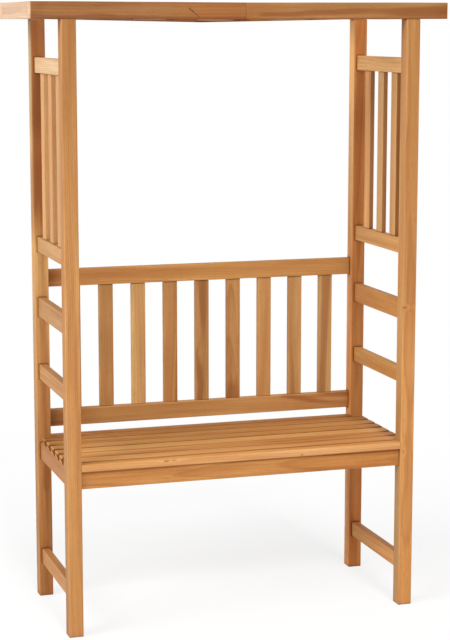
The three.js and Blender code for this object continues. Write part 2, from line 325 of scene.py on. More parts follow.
craft = {
    "cornerSteps": 4,  # steps round each eased arris
    "alongStep": 0.012,  # spacing of rings along the grain
    "acrossStep": 0.006,  # and of points over a face
    # rings round the place where another board's edge meets
    "meetSteps": (-0.006, -0.003, -0.0014, 0, 0.0014, 0.003, 0.006),
    "endSteps": 4,  # rings over each eased end
    "endStart": 0.08,  # the first of them, as a share of the arris
    "endEase": 0.9,  # how far ends are eased, as a share of the arris
    "endInset": 0.0021,  # the flat of a cut end starts this far in
    "sideGuard": 0.0006,  # a face's outermost points lie this far from its arris
    "ringGuard": 0.0005,  # and its outermost rings this far from the eased end
    "unevenness": 0.00012,  # how far sanding leaves a face from true
    "waves": (5, 19),  # its waves, in radians a metre
    "jointGap": 0.0003,  # between a shoulder and the board it meets
    "pithAway": (0.03, 0.11),  # least and most distance from the pith
    "logTilt": 0.012,  # steepest slope of the grain
    "logLength": 40,  # boards come from anywhere along such a log
    "lowEndRings": 4,  # rings that take a cut end's painted light
    "wearReach": 0.0035,  # reach of the paler edges, from wear and painted highlight, on to a face
    "endRub": 0.8, "endRubReach": 0.0004,  # how much ends are rubbed, how far past the arris
    "jointReach": 0.0014,  # reach of the dark joint line along the board
    "jointShade": 0.6,  # and how dark it is
    "meetReach": 0.0028,  # reach of the painted shade round a board that meets it
    "footAndGapReach": 0.0045,  # reach of the darkening up a foot, and of the painted shade from a gap on to a top
    "cornerReach": 0.03, "cornerShade": 1.25,  # a gap's painted shade is deeper this far from its ends, and so deep
    "lipShade": (0.3, 0.6),  # its share on the top, and what the ends add to that
    "streakWrap": 0.7,  # reach of a streak into the board below its face
}


def standFor(made, node, material):
    # the piece takes its finish, stands for its CAD node and rides on the one body there is
    made.data.materials.append(material)
    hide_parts(node)
    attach(made, "root")


def boardOutline(width, depth, arris, step):
    # section of a board: four straight sides joined by quarter circles of the arris radius,
    # anticlockwise, with each point's outward direction and how pale the edge is there, from wear and painted
    # highlight
    halves = np.array([width, depth]) / 2 - arris
    turns = np.linspace(0, math.pi / 2, craft["cornerSteps"] + 1)
    points, outward, rub = [], [], []
    for quarter, signs in enumerate(((1, 1), (-1, 1), (-1, -1), (1, -1))):
        angles = turns + quarter * math.pi / 2
        way = np.stack([np.cos(angles), np.sin(angles)], 1)
        middle = halves * signs
        points.append(middle + arris * way)
        outward.append(way)
        rub.append(np.ones(len(way)))
        # the straight side from this corner to the next
        length = 2 * halves[quarter % 2]
        guard = min(craft["sideGuard"], length / 8)
        reach = min(craft["wearReach"], length / 4)
        count = max(2, int(round((length - 2 * reach) / step)) + 1)
        along = np.concatenate([[guard], np.linspace(reach, length - reach, count), [length - guard]])
        facing = way[-1]
        onward = np.array([-facing[1], facing[0]])
        points.append(middle + arris * facing + along[:, None] * onward)
        outward.append(np.repeat(facing[None], len(along), 0))
        rub.append(np.concatenate([[0.5], np.zeros(count), [0.5]]))
    return np.concatenate(points), np.concatenate(outward), np.concatenate(rub)


def boardStations(length, arris, meets):
    # distances along the board, closer over its eased ends and where others meet it,
    # and the ease at each: endEase times what a quarter circle lacks of the arris
    eased = np.concatenate([[0.0], arris * np.linspace(craft["endStart"], 1.0, craft["endSteps"])])
    ease = arris * craft["endEase"] * (1 - np.sqrt(1 - (1 - eased / arris) ** 2))
    guards = arris + np.array([craft[reach] for reach in ("ringGuard", "jointReach", "wearReach")])
    first = np.concatenate([eased, guards])
    insets = np.concatenate([ease, np.zeros(len(guards))])
    count = max(3, int(round((length - 2 * first[-1]) / craft["alongStep"])))
    middle = np.linspace(first[-1], length - first[-1], count + 1)[1:-1]
    closer = [place + step for place in meets for step in craft["meetSteps"]]
    middle = np.unique(np.round(np.concatenate([middle, closer]), 5))
    inside = first[-1] + craft["ringGuard"]
    middle = middle[(middle > inside) & (middle < length - inside)]
    at = np.concatenate([first, middle, length - first[::-1]])
    return at, np.concatenate([insets, np.zeros(len(middle)), insets[::-1]])


def wander(at, seed, size):
    # a slow wave along the board: three sines of unlike length with seeded phases
    chance = np.random.default_rng(seed)
    waves = chance.uniform(*craft["waves"], 3)
    phases = chance.uniform(0, 2 * math.pi, 3)
    return size * np.sin(at[:, None] * waves + phases).mean(1)


def boardTone(look, share, outward):
    # tone at each point: the board's bands along it, plus painted light and shade on the side that faces each
    # way
    tone = np.repeat(toneAlong(share, look["bands"])[:, None], len(outward), 1)
    for way, faceLightBands in look.get("sideLightAndShade", {}).items():
        facing = np.clip(outward @ np.array(way), 0, 1) ** 3
        tone = tone + toneAlong(share, faceLightBands)[:, None] * facing[None, :, None]
    # painted light: the cut end at the low side can have a tone of its own
    if "lowEndTone" in look:
        tone[:craft["lowEndRings"]] = look["lowEndTone"]
    return tone


def darkLines(look, at, length, outline, outward, corners):
    # joint lines at the ends and the darkening at the foot fade with distance along the board
    arris, reach = look["arris"], craft["footAndGapReach"]
    dark = np.zeros(len(at))
    for jointed, away in zip(look.get("jointed", (True, True)), (at, length - at)):
        if jointed:
            dark = np.maximum(dark, 1 - smoothStep(arris * 0.2, arris + craft["jointReach"], away))
    dark = look.get("jointShade", craft["jointShade"]) * dark
    dark = np.maximum(dark, look.get("footDark", 0) * np.exp(-(at / reach) ** 2))
    dark = np.repeat(dark[:, None], len(outline), 1)
    # painted shade in the gap beside a board, deepest on its sides and reaching a little on to its top
    for way, strength in look.get("gapShade", {}).items():
        side = np.clip(outward[:, 0] * way, 0, 1)
        lip = np.exp(-((outline[:, 0].max() - outline[:, 0] * way) / reach) ** 2) * (outward[:, 1] > 0.5)
        corner = np.exp(-(np.minimum(at, length - at) / craft["cornerReach"]) ** 2)[:, None]
        plain, more = craft["lipShade"]
        shade = np.maximum(side[None, :] ** 1.5, (plain + more * corner) * lip[None, :])
        dark = np.maximum(dark, (strength + (craft["cornerShade"] - strength) * corner) * shade)
    # painted shade: a dark line on this board round the end of each board that meets it
    for contact in look.get("contacts", ()):
        low, high = np.array(contact["low"]), np.array(contact["high"])
        away = np.linalg.norm(np.maximum(np.maximum(low - corners, corners - high), 0), axis=-1)
        dark = np.maximum(dark, contact["shade"] * np.exp(-(away / craft["meetReach"]) ** 2))
    return dark


def darkStreaks(look, share, across, through):
    # dark streaks, by the way their face looks: stains in the wood, and along some edges painted shade;
    # each with its path over the face: (place along the board, place over the face, width, strength)
    stain = np.zeros(across.shape)
    for (wayA, wayB), paths in look.get("streaks", {}).items():
        under = 0.5 - wayA * across - wayB * through
        for path in paths:
            path = np.array(path)
            course, width, strength = [np.interp(share, path[:, 0], path[:, k])[:, None] for k in (1, 2, 3)]
            aside = (through if wayA else across) - course
            fade = (aside / width) ** 2 + (under / craft["streakWrap"]) ** 2
            stain = np.maximum(stain, strength * np.exp(-fade))
    return stain


def makeBoard(node, low, high, axis, material, look):
    # a board is its rounded section carried along the grain:
    # corner(i, j) = line(i) + outline(j) - inset(i) * outward(j)
    low, high = np.array(low, float), np.array(high, float)
    first, second = (axis + 1) % 3, (axis + 2) % 3
    middle, size = (low + high) / 2, high - low
    arris = look["arris"]
    seed = sum(ord(letter) * (k + 3) for k, letter in enumerate(node))
    chance = np.random.default_rng(seed)
    acrossStep = look.get("acrossStep", craft["acrossStep"])
    outline, outward, rub = boardOutline(size[first], size[second], arris, acrossStep)
    meets = [met[end][axis] - low[axis] for met in look.get("contacts", ()) for end in ("low", "high")]
    at, inset = boardStations(size[axis], arris, meets)
    around = len(outline)

    uneven = np.stack([wander(at, seed + k, craft["unevenness"]) for k in (1, 2)], 1)
    shrink = inset[:, None, None] + np.abs(uneven[:, None, :])
    flat = outline[None] - shrink * outward[None]
    # a crowned top falls away from its middle with the square of the distance
    fall = look.get("crown", 0) * (2 * outline[:, 0] / size[first]) ** 2 * (outward[:, 1] > 0.2)
    flat[..., 1] -= fall[None, :]
    # one more ring inside each end, so that the end grain is a flat face
    inner = 1 - 2 * craft["endInset"] / (size[[first, second]] - 2 * craft["endEase"] * arris)
    flat = np.concatenate([flat[:1] * inner, flat, flat[-1:] * inner])
    at = np.concatenate([at[:1], at, at[-1:]])
    rings = len(at)

    corners = np.empty((rings, around, 3))
    corners[..., first] = flat[..., 0] + middle[first]
    corners[..., second] = flat[..., 1] + middle[second]
    corners[..., axis] = (low[axis] + at)[:, None]
    if "sag" in look:
        corners[..., 2] += look["sag"](corners[..., axis])
    faces = ringFaces(rings, around)
    faces.append(list(range(around))[::-1])
    faces.append(list(range((rings - 1) * around, rings * around)))
    made = meshFrom("timber_" + node, corners.reshape(-1, 3), faces)

    # where each point lay in the log: pith at the origin, grain along z
    pithAway = chance.uniform(*craft["pithAway"])
    pithTurn = chance.uniform(0, 2 * math.pi)
    tilt = chance.uniform(-craft["logTilt"], craft["logTilt"], 2)
    fromMiddle = at - size[axis] / 2
    inLog = np.empty((rings, around, 3))
    inLog[..., 0] = flat[..., 0] + pithAway * math.cos(pithTurn) + (tilt[0] * fromMiddle)[:, None]
    inLog[..., 1] = flat[..., 1] + pithAway * math.sin(pithTurn) + (tilt[1] * fromMiddle)[:, None]
    inLog[..., 2] = at[:, None] + chance.uniform(0, craft["logLength"])
    giveAttribute(made, "inLog", "FLOAT_VECTOR", inLog)

    share = at / size[axis]
    tint = np.ones((rings, around, 4))
    tint[..., :3] = toneShares(boardTone(look, share, outward))
    giveAttribute(made, "boardTone", "FLOAT_COLOR", tint)

    # edges and ends paler from wear and from a painted highlight
    toEnd = np.minimum(at, size[axis] - at)
    endRub = np.where(toEnd < arris + craft["endRubReach"], craft["endRub"], 0.0)
    endRub[[0, -1]] = 0.0
    rubbed = look.get("rubbed", 1.0) * np.maximum(rub[None, :], endRub[:, None])
    giveAttribute(made, "edgeWearAndHighlight", "FLOAT", rubbed)
    giveAttribute(made, "jointAndShadeLine", "FLOAT", darkLines(look, at, size[axis], outline, outward, corners))
    streaked = darkStreaks(look, share, flat[..., 0] / size[first], flat[..., 1] / size[second])
    giveAttribute(made, "stain", "FLOAT", streaked)

    standFor(made, node, material)


def boxOf(node):
    return [list(corner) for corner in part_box(node)]


def between(node, axis, before, after):
    # the board's own box, cut back to where its shoulders meet its two neighbours
    low, high = boxOf(node)
    low[axis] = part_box(before)[1][axis] + craft["jointGap"]
    high[axis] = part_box(after)[0][axis] - craft["jointGap"]
    return low, high


x, y, z = 0, 1, 2
sideRails = ["foot_rail", "seat_rail", "lower_arm_rail", "upper_arm_rail", "panel_bottom_rail",
             "panel_top_rail"]

# posts

# a board's tone is given in bands of (place along it, depth, warmth, and sometimes gold):
# depth runs from pale below 0 to dark above it, warmth from straw to red, gold from pink to yellow
posts = {
    "topTenon": 0.0203, "arris": 0.0022, "acrossStep": 0.0033, "footDark": 0.55, "apronShade": 0.4,
    "tones": {
        "post_front_left": [(0.1, 0.19, -0.05), (0.4, 0, -0.15), (0.65, 0.1, -0.14), (0.9, 0.32, 0.02)],
        "post_front_right": [(0.1, 0.13, 0.11), (0.4, 0, -0.03), (0.65, 0.16, -0.08), (0.9, 0.22, -0.05)],
        "post_back_left": [
            (0.14, 0.31, 0.16), (0.36, -0.14, -0.25), (0.62, -0.15, -0.45), (0.66, 0.22, 0.1),
            (0.69, 0.24, 0.15), (0.75, 0.28, 0.2), (0.79, 0.1, 0), (0.83, 0.34, 0.2), (0.87, 0.36, 0.2),
            (0.94, 0.34, 0.14)],
        "post_back_right": [(0.1, -0.01, 0.47), (0.35, 0.24, 0.35), (0.65, 0.11, 0.4), (0.9, 0.13, 0.52)],
    },
    # painted light and shade: how the face towards the left end differs from the rest of each post
    "leftFaceLightAndShade": {
        "post_front_left": [(0.1, 0.1, -0.17), (0.33, 0.19, 0.14), (0.6, 0.12, 0.31), (0.9, -0.13, -0.05)],
        "post_front_right": [(0.1, 0.12, -0.52), (0.33, 0.12, -0.4), (0.6, -0.23, -0.2), (0.9, -0.1, -0.1)],
        "post_back_left": [(0.1, 0.05, -0.4), (0.36, 0.35, -0.22), (0.6, 0.1, 0.04), (0.88, -0.28, -1.15)],
        "post_back_right": [
            (0.1, -0.43, -0.6), (0.36, -0.42, -0.15), (0.46, -0.5, -0.25), (0.62, -0.24, -0.6),
            (0.69, -0.32, -0.65), (0.77, -0.38, -0.95), (0.87, -0.65, -0.95), (0.95, -0.6, -0.9)],
    },
    # dark heartwood up the rear left post: two streaks over its front face, and along the arris beside it a
    # dark band of painted shade;
    # each by (place up the post, place over the face, width, strength)
    "streaks": {"post_back_left": {
        (0, -1): [
            [(0.17, 0.1, 0.3, 0), (0.2, 0.1, 0.3, 1), (0.25, 0.2, 0.3, 1), (0.28, 0.3, 0.2, 0.4),
             (0.31, 0.4, 0.1, 0)],
            [(0.65, 0.1, 0.3, 0.5), (0.7, 0.1, 0.35, 1), (0.76, 0, 0.4, 1), (0.785, 0, 0.3, 0),
             (0.81, 0, 0.3, 0), (0.83, 0, 0.4, 1), (0.9, 0, 0.4, 1), (0.92, 0.1, 0.3, 0.4),
             (0.97, 0, 0.3, 0.3)]],
        # painted shade: a dark band on the left face along its front edge
        (-1, 0): [[(0.64, -0.5, 0.1, 0), (0.7, -0.5, 0.3, 0.9), (0.97, -0.5, 0.3, 0.9)]]}},
    # each knot is (x, y, z, radius, how far it is drawn out each way, strength)
    "knots": [(0.466, -0.2155, 0.8605, 0.0058, (1.35, 1, 0.6), 0.75),
              (0.469, -0.2155, 0.449, 0.003, (1, 1, 1.6), 0.6),
              (-0.4615, -0.212, 1.21, 0.002, (1, 1, 2), 0.6)],
}
postWood = makeTimber("postWood", timberColours(ringDepth=0.3, fibreDepth=0.17), posts["knots"])


def railEnds(post):
    # boxes of the rails that meet this post, less the tenons inside it, for the painted shade round their
    # ends
    side = "left" if "left" in post else "right"
    met = {f"{side}_{rail}": y for rail in sideRails}
    met |= {"backrest_top_rail": x, "backrest_bottom_rail": x} if "back" in post else {"front_apron": x}
    ends = []
    for rail, axis in met.items():
        low, high = boxOf(rail)
        postLow, postHigh = [corner[axis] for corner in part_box(post)]
        if low[axis] > postLow:
            low[axis] = postHigh
        else:
            high[axis] = postLow
        shade = posts["apronShade"] if rail == "front_apron" else 1.0
        ends.append({"low": low, "high": high, "shade": shade})
    return ends


for post, bands in posts["tones"].items():
    low, high = boxOf(post)
    high[z] -= posts["topTenon"]
    makeBoard(post, low, high, z, postWood, {
        "arris": posts["arris"], "bands": bands, "acrossStep": posts["acrossStep"],
        "footDark": posts["footDark"], "contacts": railEnds(post), "jointed": (False, True),
        "sideLightAndShade": {(-1, 0): posts["leftFaceLightAndShade"][post]},
        "streaks": posts["streaks"].get(post, {})})
print("posts made")

# side frames

sides = {
    "railArris": 0.0018, "slatArris": 0.0014,
    # depth, warmth and gold of each rail, from the foot up; the top rails are painted paler, as painted light
    # from the upper left
    "railTones": {
        "left": [(0.11, -0.01, 0.4), (0.26, 0.15, 0), (0.13, -0.14, 0), (0.19, -0.24, 0), (0.04, -0.4, 0),
                 (-0.2, -0.97, -1)],
        "right": [(-0.17, -0.18, 0), (-0.07, -0.3, 0.8), (-0.03, -0.03, 1), (0.01, 0.12, 0.85),
                  (-0.15, -0.2, 0.5), (-0.37, -0.5, 0)],
    },
    # the same of each slat, from the front, and the painted shade on its front and back edges
    "slatTones": {"left": [(-0.09, -0.6, -0.6), (-0.15, -0.42, -0.6), (-0.15, -0.44, -0.6)],
                  "right": [(-0.13, -0.45, -0.4), (-0.15, -0.5, -0.4), (-0.33, -0.33, -0.4)]},
    "edgeShade": {"left": [(0.02, -0.08, 0)] * 3,
                  "right": [(0.585, 0.73, 0.63), (0.5, 0.47, -0.26), (0.675, 0.29, -0.1)]},
}
sideWood = makeTimber("sideWood", timberColours())
for side, tones in sides["railTones"].items():
    for rail, tone in zip(sideRails, tones):
        node = f"{side}_{rail}"
        low, high = between(node, y, f"post_front_{side}", f"post_back_{side}")
        makeBoard(node, low, high, y, sideWood, {
            "arris": sides["railArris"], "bands": [(0.5, *tone)]})
for side, tones in sides["slatTones"].items():
    for k, tone in enumerate(tones, 1):
        node = f"{side}_panel_slat_{k}"
        low, high = between(node, z, f"{side}_panel_bottom_rail", f"{side}_panel_top_rail")
        edges = {way: [(0.5, *sides["edgeShade"][side][k - 1])] for way in ((0, -1), (0, 1))}
        makeBoard(node, low, high, z, sideWood, {
            "arris": sides["slatArris"], "bands": [(0.5, *tone)], "sideLightAndShade": edges})
print("side frames made")

# backrest

backrest = {
    "railArris": 0.002, "slatArris": 0.0014, "slatJointShade": 0.4,
    "railTones": {
        "backrest_top_rail": [(0, 0.33, 0.33, 0), (0.1, 0.14, 0.05, 0), (0.5, 0.01, -0.12, 0.5),
                              (0.9, 0.16, -0.06, 0.3)],
        "backrest_bottom_rail": [(0.1, 0.42, 0.08), (0.17, 0.18, -0.2), (0.6, 0, -0.28),
                                 (0.85, 0.09, -0.14)],
    },
    # depth and warmth of each slat, from the left
    "slatTones": [(0.2, 0), (0.22, -0.21), (-0.05, -0.53), (0.12, -0.21), (0.2, -0.27), (0.17, -0.2),
                  (0, -0.32), (0.09, -0.4), (0.12, -0.5)],
    # streaks, slat by slat and rail by rail: (place along the grain, place over the face, width, strength)
    "slatStreaks": {
        2: [(0, 0.1, 0.3, 0.5), (0.2, 0.1, 0.2, 0.2), (0.9, 0, 0.3, 0.3)],
        4: [(0, 0.46, 0.16, 1), (0.3, 0.46, 0.12, 0.8), (0.5, 0.5, 0.1, 0.5), (0.6, 0.4, 0.1, 0.2),
            (1, 0.3, 0.2, 0.4)],
        5: [(0, -0.2, 0.24, 1), (0.12, -0.1, 0.24, 1), (0.25, -0.2, 0.3, 0.9), (0.4, -0.4, 0.2, 0.6),
            (0.55, 0, 0.3, 0.35), (0.75, 0, 0.3, 0.8), (1, -0.1, 0.35, 0.8)],
        6: [(0, 0, 0.6, 0.9), (0.1, 0.1, 0.5, 0.7), (0.22, 0.3, 0.3, 0.3), (0.35, 0.1, 0.2, 0),
            (0.7, 0, 0.2, 0.3)],
        8: [(0, -0.1, 0.2, 0.6), (0.25, -0.12, 0.12, 0.55), (0.45, -0.25, 0.1, 0.1)],
        9: [(0, -0.2, 0.3, 1.1), (0.4, -0.1, 0.3, 0.9), (1, 0, 0.35, 1.1)],
    },
    "railStreaks": {
        "backrest_bottom_rail": [
            [(0.04, 0, 0.5, 0.6), (0.1, 0.1, 0.4, 0.5), (0.15, 0.3, 0.3, 0)],
            [(0.74, 0.55, 0.16, 0), (0.78, 0.42, 0.2, 0.7), (0.86, 0.12, 0.22, 0.85),
             (0.93, -0.12, 0.22, 0.7), (1, -0.2, 0.3, 0.6)],
            [(0.86, 0.5, 0.2, 0), (0.93, 0.4, 0.25, 0.7), (1, 0.35, 0.3, 0.7)]],
        "backrest_top_rail": [[(0, 0, 0.5, 0.5), (0.06, 0.2, 0.4, 0.3), (0.1, 0.3, 0.3, 0)]],
    },
}
backrestWood = makeTimber("backrestWood", timberColours())
for node, bands in backrest["railTones"].items():
    low, high = between(node, x, "post_back_left", "post_back_right")
    makeBoard(node, low, high, x, backrestWood, {
        "arris": backrest["railArris"], "bands": bands, "streaks": {(-1, 0): backrest["railStreaks"][node]}})
for k, tone in enumerate(backrest["slatTones"], 1):
    low, high = between(f"back_slat_{k}", z, "backrest_bottom_rail", "backrest_top_rail")
    path = backrest["slatStreaks"].get(k)
    makeBoard(f"back_slat_{k}", low, high, z, backrestWood, {
        "arris": backrest["slatArris"], "bands": [(0.5, *tone)],
        "streaks": {(0, -1): [path] if path else ()}, "jointShade": backrest["slatJointShade"]})
print("backrest made")

# seat

seat = {
    "railArris": 0.002, "slatArris": 0.0027, "frontArris": 0.0017, "crown": 0.0007, "acrossStep": 0.004,
    "railJointShade": 0.25,
    "railTones": {"front_apron": [(0.2, 0.13, 0.17, -0.4), (0.55, 0.11, 0.18, -0.4), (0.9, 0.24, 0.37, -0.4)],
                  "rear_seat_rail": [(0.5, 0.25, 0.18)]},
    "bearerTone": [(0.5, 0.1, 0.1)],
    # slats from front to back
    "slatTones": [
        [(0.2, -0.11, 0.15), (0.7, -0.15, 0.08)], [(0.2, -0.35, -0.2), (0.7, -0.09, 0.07)],
        [(0.2, -0.12, 0.05), (0.7, 0.01, 0.27)], [(0.2, -0.15, -0.15), (0.7, -0.17, -0.13)],
        [(0.2, 0.05, -0.03), (0.7, 0.08, 0.18)], [(0.2, 0.09, -0.04), (0.7, 0.07, 0.1)],
        [(0.2, 0.31, 0.27), (0.7, 0.22, 0.23)], [(0.2, 0.27, 0.1), (0.7, 0.27, 0.1)],
    ],
    # painted light: the front slat's front face is paler and less warm than its top
    "frontFaceLight": [(0.5, 0, -0.36, -1)],
    # two small knots and a dark fleck on the front slat
    "knots": [(-0.2248, -0.2155, 0.4719, 0.0042, (2.2, 1, 0.8), 0.85),
              (-0.204, -0.2155, 0.4725, 0.0036, (2.6, 1, 0.7), 0.7),
              (0.1652, -0.2155, 0.4612, 0.003, (1, 1, 1.3), 1)],
    # streaks on the tops of some slats: (place along the slat, place over its top, width, strength)
    "slatStreaks": {
        3: [[(0.55, -0.2, 0.12, 0), (0.62, -0.2, 0.15, 0.6), (0.8, -0.1, 0.15, 0.7), (0.9, 0, 0.1, 0.2)]],
        4: [[(0.3, 0.2, 0.12, 0), (0.36, 0.2, 0.15, 0.6), (0.5, 0.1, 0.15, 0.5), (0.56, 0.1, 0.1, 0)]],
        6: [[(0.05, -0.2, 0.2, 0), (0.1, -0.2, 0.15, 0.6), (0.16, -0.25, 0.15, 0.6), (0.2, -0.3, 0.1, 0)],
            [(0.5, 0, 0.1, 0), (0.6, 0.1, 0.2, 0.5), (0.72, 0.1, 0.2, 0.5), (0.8, 0, 0.1, 0)]],
        7: [[(0, 0.1, 0.3, 0.6), (0.1, 0.15, 0.25, 1), (0.15, 0.2, 0.2, 0.7), (0.2, 0.3, 0.15, 0)]],
        8: [[(0.02, 0, 0.3, 0.4), (0.12, -0.2, 0.25, 0.9), (0.19, -0.3, 0.2, 0.5), (0.24, -0.3, 0.2, 0)]],
    },
    "gapShade": [1, 0.65, 0.65, 1, 0.65, 0.85, 0.85],  # painted shade in the gap behind each slat
    # the seat's joint colour is mostly painted shade, in the gaps between the slats
    "wood": {"sheen": 0.08, "pale": (210, 161, 99), "honey": (192, 135, 72), "deep": (148, 92, 44),
             "red": (154, 90, 47), "jointAndShade": (108, 55, 20), "knot": (128, 68, 28)},
}
seatWood = makeTimber("seatWood", timberColours(**seat["wood"]), seat["knots"])
for node, bands in seat["railTones"].items():
    low, high = between(node, x, "post_front_left", "post_front_right")
    makeBoard(node, low, high, x, seatWood, {
        "arris": seat["railArris"], "bands": bands, "jointShade": seat["railJointShade"]})
low, high = between("seat_bearer", y, "front_apron", "rear_seat_rail")
makeBoard("seat_bearer", low, high, y, seatWood, {
    "arris": seat["railArris"], "bands": seat["bearerTone"]})
for k, bands in enumerate(seat["slatTones"], 1):
    low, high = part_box(f"seat_slat_{k}")
    gapShading = {}
    if k > 1:
        gapShading[-1] = seat["gapShade"][k - 2]
    if k < len(seat["slatTones"]):
        gapShading[1] = seat["gapShade"][k - 1]
    makeBoard(f"seat_slat_{k}", low, high, x, seatWood, {
        "arris": seat["frontArris" if k == 1 else "slatArris"], "bands": bands, "gapShade": gapShading,
        "jointed": (False, False), "crown": seat["crown"], "acrossStep": seat["acrossStep"],
        "sideLightAndShade": {(-1, 0): seat["frontFaceLight"]} if k == 1 else {},
        "streaks": {(0, 1): seat["slatStreaks"].get(k, ())}})
print("seat made")

# roof

roof = {
    "arris": 0.0016, "beamRubbed": 0.2,
    "level": 1.6548,  # underside of the beams over the posts
    "height": 0.044,
    "postInside": 0.46,  # the beams hang from here to the middle
    "frontSag": 0.0015, "backSag": 0.009,
    "beamTones": {
        "roof_front_beam_left": [(0.1, 0.55, 0.01, -0.6), (0.6, 0.55, 0.02, -0.6), (0.8, 0.49, 0.33, -0.4)],
        "roof_front_beam_right": [(0, 0.36, 0.1), (0.2, 0.3, -0.13), (0.9, 0.36, -0.05), (1, 0.46, 0.25)],
        "roof_back_beam_left": [(0.5, 0.9, 0.4)],
        "roof_back_beam_right": [(0.5, 0.7, 0.3)],
    },
    "endLight": (-0.25, -1.1, -2),  # painted light: the cut ends of the beams on the left, painted pale
    # a short crack slants down the left front beam: (start, end, width, strength) of its two parts
    "cracks": [((-0.157, -0.2152, 1.682), (-0.146, -0.2152, 1.673), 0.0026, 1),
               ((-0.148, -0.2152, 1.675), (-0.129, -0.2152, 1.659), 0.0018, 0.9)],
    # streaks on the front faces: (place along the beam, place up the face, width, strength); the dark lines
    # along the lower edges are painted shade
    "beamStreaks": {
        "roof_front_beam_right": [
            [(0.04, -0.22, 0.09, 0), (0.09, -0.2, 0.1, 0.9), (0.22, -0.2, 0.11, 1.1),
             (0.3, -0.12, 0.13, 1.1), (0.44, -0.08, 0.15, 1), (0.54, 0, 0.18, 0.8), (0.62, 0, 0.18, 0.5),
             (0.7, -0.06, 0.25, 0.5), (0.78, -0.06, 0.32, 0.95), (0.9, 0, 0.38, 1), (1, 0.06, 0.42, 1)],
            # along the lower edge, painted shade; then a thin dark line along the top edge
            [(0, -0.5, 0.12, 0.8), (0.5, -0.5, 0.1, 0.9), (1, -0.5, 0.12, 0.8)],
            [(0, 0.5, 0.05, 0.6), (1, 0.5, 0.05, 0.6)]],
        "roof_front_beam_left": [
            [(0.3, -0.1, 0.1, 0), (0.38, -0.08, 0.12, 0.35), (0.55, -0.16, 0.16, 0.45),
             (0.66, -0.2, 0.12, 0)],
            [(0, -0.1, 0.5, 0.5), (0.06, 0.1, 0.5, 0.5), (0.1, 0.3, 0.3, 0)],
            [(0.18, -0.3, 0.12, 0), (0.26, -0.22, 0.16, 0.6), (0.36, -0.26, 0.16, 0.6), (0.44, -0.3, 0.1, 0)],
            [(0.2, 0.34, 0.1, 0), (0.3, 0.3, 0.1, 0.4), (0.5, 0.36, 0.1, 0.4), (0.6, 0.3, 0.1, 0)],
            # along the lower edge, painted shade; then a thin dark line along the top edge
            [(0, -0.5, 0.08, 0.6), (0.14, -0.5, 0.12, 1.1), (1, -0.5, 0.14, 1.1)],
            [(0, 0.5, 0.05, 0.6), (1, 0.5, 0.05, 0.6)]],
    },
    # depth, warmth and gold of each cross rail, from the left; the first shows at the roof's end, painted
    # pale as painted light
    "crossTones": [(-0.19, -1.25, -2), (0.6, 0.1, 0), (0.7, 0.15, 0), (0.65, 0.1, 0), (0.45, 0.1, 0),
                   (0.5, 0.15, 0), (0.45, 0.1, 0), (0.5, 0.15, 0)],
}


def hangingBy(sag):
    # how far a beam has dropped: nothing outside the posts, then in a line to the middle
    return lambda along: -sag * np.clip(1 - np.abs(along) / roof["postInside"], 0, 1)


roofWood = makeTimber("roofWood", timberColours(), cracks=roof["cracks"])
for node, bands in roof["beamTones"].items():
    low, high = boxOf(node)
    low[z] = roof["level"]
    high[z] = low[z] + roof["height"]
    sag = roof["frontSag" if "front" in node else "backSag"]
    look = {"arris": roof["arris"], "bands": bands, "sag": hangingBy(sag), "jointed": (False, False),
            "rubbed": roof["beamRubbed"], "streaks": {(-1, 0): roof["beamStreaks"].get(node, ())}}
    if "left" in node:
        look["lowEndTone"] = roof["endLight"]
    makeBoard(node, low, high, x, roofWood, look)
for k, tone in enumerate(roof["crossTones"], 1):
    node = f"roof_cross_rail_{k}"
    low, high = between(node, y, "roof_front_beam_left", "roof_back_beam_left")
    makeBoard(node, low, high, y, roofWood, {"arris": roof["arris"], "bands": [(0.5, *tone)]})
print("roof made")

# bolts and nuts

bolts = {
    "across": 0.013, "headHeight": 0.0055, "diameter": 0.008, "pitch": 0.00125, "threadDepth": 0.0005,
    "threadLength": 0.022, "chamfer": 0.0007, "aroundSteps": 48,
    "rim": 0.00025,  # depth of the turned rim on a head's face
    "ease": 0.0004,  # height of the soft edge under a head and of the thread's run-out
    "tip": 0.0008,  # length of the bolt's bevelled tip
    "threadSteps": 6,  # rings to each turn of the thread
    "boreGap": 0.0002,  # clearance round the shank in a nut
    "boreMouth": 0.0006,  # depth of the flared mouth of its hole
    # reach of each ring as a share of the hexagon's corner, the shank or the hole
    "headShares": [0.2, 0.9, 0.935, 1.0, 1.0, 1.0, 0.985, 0.96, 0.64], "tipShares": [0.9, 0.8, 0.3],
    "nutShares": [0.7, 0.9, 0.955, 1.0, 1.0, 0.955, 0.9, 0.7], "holeShares": [1.02, 1.0, 1.02],
    "tint": (176, 178, 180), "dullTint": (150, 150, 146), "markTint": (206, 206, 204), "roughness": 0.34,
    "markScale": (5200, 700, 700), "blotchScale": (260, 260, 260), "markHeight": 0.00005,
}


def hexReach(angle, across, corner):
    # distance from the axis to a hexagon's side at an angle, held back to the turned corner
    step = math.pi / 3
    inSide = (angle + step / 2) % step - step / 2
    return np.minimum(across / 2 / np.cos(inSide), corner)


def threadRadius(axial, angle, radius):
    # a ridge that winds along the shank, from a triangle wave of axial place less angle
    turn = (axial / bolts["pitch"] - angle / (2 * math.pi)) % 1
    return radius - bolts["threadDepth"] * (1 - np.abs(2 * turn - 1))


def ringReaches(shares, size):
    # one reach for each ring, the same all round
    return np.array(bolts[shares])[:, None] * size


def turnOnX(name, node, axial, reaches, centre, closed):
    # a profile of axial places carried round the x axis: corner = (axial, reach cos, reach sin)
    steps = bolts["aroundSteps"]
    corners = np.stack([axial[:, None] * np.ones_like(angle), reaches * np.cos(angle + math.pi / 2),
                        reaches * np.sin(angle + math.pi / 2)], -1) + np.array(centre)
    faces = ringFaces(len(axial), steps, closed)
    if not closed:
        faces.append(list(range(steps))[::-1])
        faces.append(list(range((len(axial) - 1) * steps, len(axial) * steps)))
    made = meshFrom(name, corners.reshape(-1, 3), faces)
    standFor(made, node, steel)


